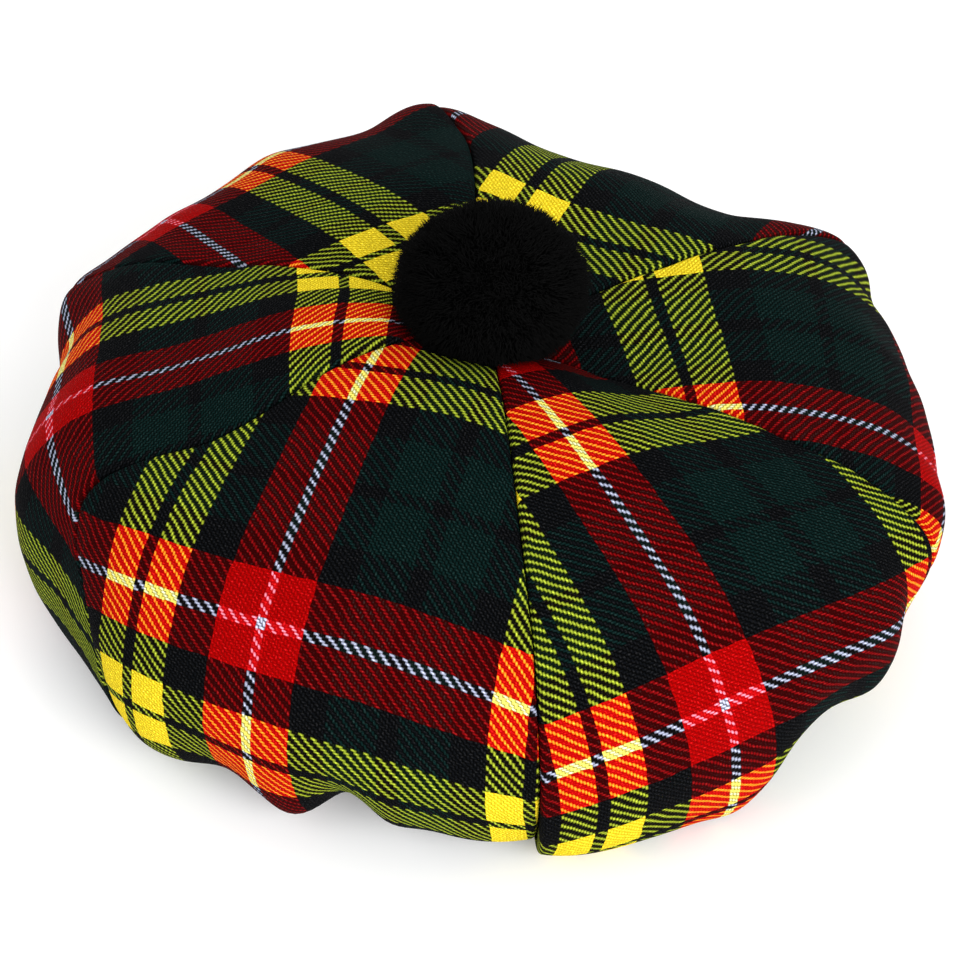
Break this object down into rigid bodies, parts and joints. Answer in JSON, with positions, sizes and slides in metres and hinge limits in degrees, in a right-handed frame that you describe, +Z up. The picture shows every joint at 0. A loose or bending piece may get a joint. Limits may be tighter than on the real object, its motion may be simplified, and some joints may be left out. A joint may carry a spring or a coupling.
{
  "type": "tam o shanter",
  "caption": "Floppy tartan bonnet of seamed gores with a rolled rim, a hidden headband and a black pompom in the middle of its crown.",
  "frame": {"origin": "middle of the hat's box, on the surface that the headband rests on", "axes": "+Z up through the crown and pompom, -Y towards the front seam, +X to the right in the picture"},
  "size_m": [0.2849, 0.2845, 0.1307],
  "materials": {
    "tartan_cloth": "twill-woven tartan in green, black, red, yellow and white",
    "band_cloth": "plain woven black",
    "pompom_yarn": "cut black yarn"
  },
  "bodies": {
    "root": {"gore_front_right": "tartan_cloth", "gore_right": "tartan_cloth", "gore_back": "tartan_cloth", "gore_back_left": "tartan_cloth", "gore_left": "tartan_cloth", "gore_front_left": "tartan_cloth", "headband": "band_cloth", "pompom": "pompom_yarn"}
  },
  "joints": []
}
